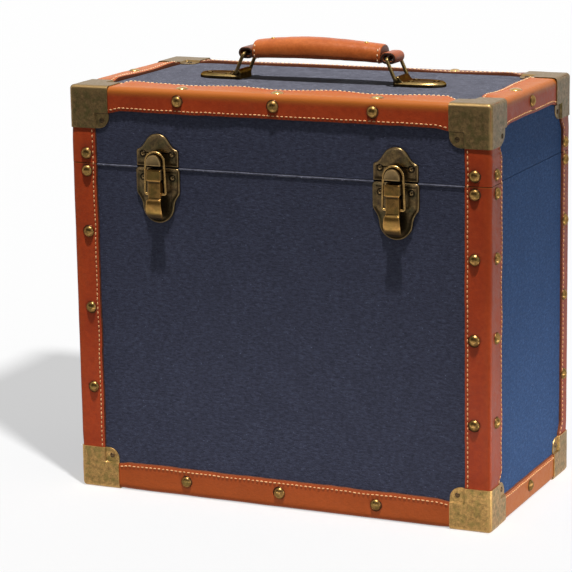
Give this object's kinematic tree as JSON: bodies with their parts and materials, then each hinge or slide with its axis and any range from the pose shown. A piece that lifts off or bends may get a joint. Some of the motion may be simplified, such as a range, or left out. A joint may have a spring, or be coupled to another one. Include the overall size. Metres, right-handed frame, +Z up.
{
  "type": "record storage box",
  "caption": "Upright board case covered in leatherette with tacked leather edges, metal corner caps, draw latches, a hinged lid and a padded top handle.",
  "frame": {"origin": "under the middle of the case, at the height of the surface it stands on", "axes": "+Z up, -Y out of the face with the latches, +X to the right of someone who looks at that face"},
  "size_m": [0.3692, 0.2046, 0.3745],
  "materials": {
    "leatherette_board": "navy grained leatherette over board",
    "lining": "dark paper lining over card",
    "leather_binding": "worn red-brown leather with pale stitching",
    "handle_leather": "polished brown leather",
    "bronze_cap": "dark mottled bronze",
    "brass_cap": "worn mottled brass",
    "aged_brass": "aged brass with bright worn edges",
    "pin_steel": "dull steel"
  },
  "bodies": {
    "body": {"body_front_board": "leatherette_board", "body_back_board": "leatherette_board", "body_left_board": "leatherette_board", "body_right_board": "leatherette_board", "body_bottom_board": "leatherette_board", "inner_lip": "lining", "body_front_left_binding": "leather_binding", "body_front_right_binding": "leather_binding", "body_back_left_binding": "leather_binding", "body_back_right_binding": "leather_binding", "bottom_front_binding": "leather_binding", "bottom_back_binding": "leather_binding", "bottom_left_binding": "leather_binding", "bottom_right_binding": "leather_binding", "bottom_front_left_corner_cap": "brass_cap", "bottom_front_right_corner_cap": "brass_cap", "bottom_back_left_corner_cap": "brass_cap", "bottom_back_right_corner_cap": "brass_cap", "latch_left_base_plate": "aged_brass", "latch_right_base_plate": "aged_brass", "latch_left_pin": "pin_steel", "latch_right_pin": "pin_steel", "hinge_left_body_leaf": "aged_brass", "hinge_right_body_leaf": "aged_brass", "hinge_left_pin": "pin_steel", "hinge_right_pin": "pin_steel"},
    "lid": {"lid_front_board": "leatherette_board", "lid_back_board": "leatherette_board", "lid_left_board": "leatherette_board", "lid_right_board": "leatherette_board", "lid_top_board": "leatherette_board", "lid_front_left_binding": "leather_binding", "lid_front_right_binding": "leather_binding", "lid_back_left_binding": "leather_binding", "lid_back_right_binding": "leather_binding", "top_front_binding": "leather_binding", "top_back_binding": "leather_binding", "top_left_binding": "leather_binding", "top_right_binding": "leather_binding", "top_front_left_corner_cap": "bronze_cap", "top_front_right_corner_cap": "bronze_cap", "top_back_left_corner_cap": "bronze_cap", "top_back_right_corner_cap": "bronze_cap", "latch_left_strike_plate": "aged_brass", "latch_right_strike_plate": "aged_brass", "hinge_left_lid_leaf": "aged_brass", "hinge_right_lid_leaf": "aged_brass", "handle_left_end_plate": "aged_brass", "handle_right_end_plate": "aged_brass"},
    "left_lever": {"latch_left_lever": "aged_brass"},
    "left_bail": {"latch_left_bail": "aged_brass"},
    "right_lever": {"latch_right_lever": "aged_brass"},
    "right_bail": {"latch_right_bail": "aged_brass"},
    "left_ring": {"handle_left_ring": "aged_brass"},
    "right_ring": {"handle_right_ring": "aged_brass"},
    "grip": {"handle_grip": "handle_leather", "handle_left_strap_loop": "handle_leather", "handle_right_strap_loop": "handle_leather"}
  },
  "joints": [
    {"name": "lid_hinge", "type": "hinge", "parent": "body", "child": "lid", "pos_m": [0, 0.0969, 0.276], "axis": [-1, 0, 0], "range_deg": [0, 105]},
    {"name": "left_lever_hinge", "type": "hinge", "parent": "body", "child": "left_lever", "pos_m": [-0.1035, -0.0991, 0.2726], "axis": [-1, 0, 0], "range_deg": [0, 100]},
    {"name": "left_bail_hinge", "type": "hinge", "parent": "left_lever", "child": "left_bail", "pos_m": [-0.1035, -0.09985, 0.2547], "axis": [-1, 0, 0], "range_deg": [-90.5, 0.5]},
    {"name": "right_lever_hinge", "type": "hinge", "parent": "body", "child": "right_lever", "pos_m": [0.1035, -0.0991, 0.2726], "axis": [-1, 0, 0], "range_deg": [0, 100]},
    {"name": "right_bail_hinge", "type": "hinge", "parent": "right_lever", "child": "right_bail", "pos_m": [0.1035, -0.09985, 0.2547], "axis": [-1, 0, 0], "range_deg": [-90.5, 0.5]},
    {"name": "left_ring_hinge", "type": "hinge", "parent": "lid", "child": "left_ring", "pos_m": [-0.071, 0, 0.3425], "axis": [0, 1, 0], "range_deg": [-25, 25]},
    {"name": "right_ring_hinge", "type": "hinge", "parent": "lid", "child": "right_ring", "pos_m": [0.071, 0, 0.3425], "axis": [0, 1, 0], "range_deg": [-25.2, 25.2]},
    {"name": "grip_hinge", "type": "hinge", "parent": "left_ring", "child": "grip", "pos_m": [-0.0633, 0, 0.3598], "axis": [0, 1, 0], "range_deg": [-28.3, 28.3]}
  ],
  "couplings": [
    {"joint": "left_bail_hinge", "follows": "left_lever_hinge", "ratio": -0.9},
    {"joint": "right_bail_hinge", "follows": "right_lever_hinge", "ratio": -0.9},
    {"joint": "right_ring_hinge", "follows": "left_ring_hinge", "ratio": 1},
    {"joint": "grip_hinge", "follows": "left_ring_hinge", "ratio": -1.122}
  ]
}
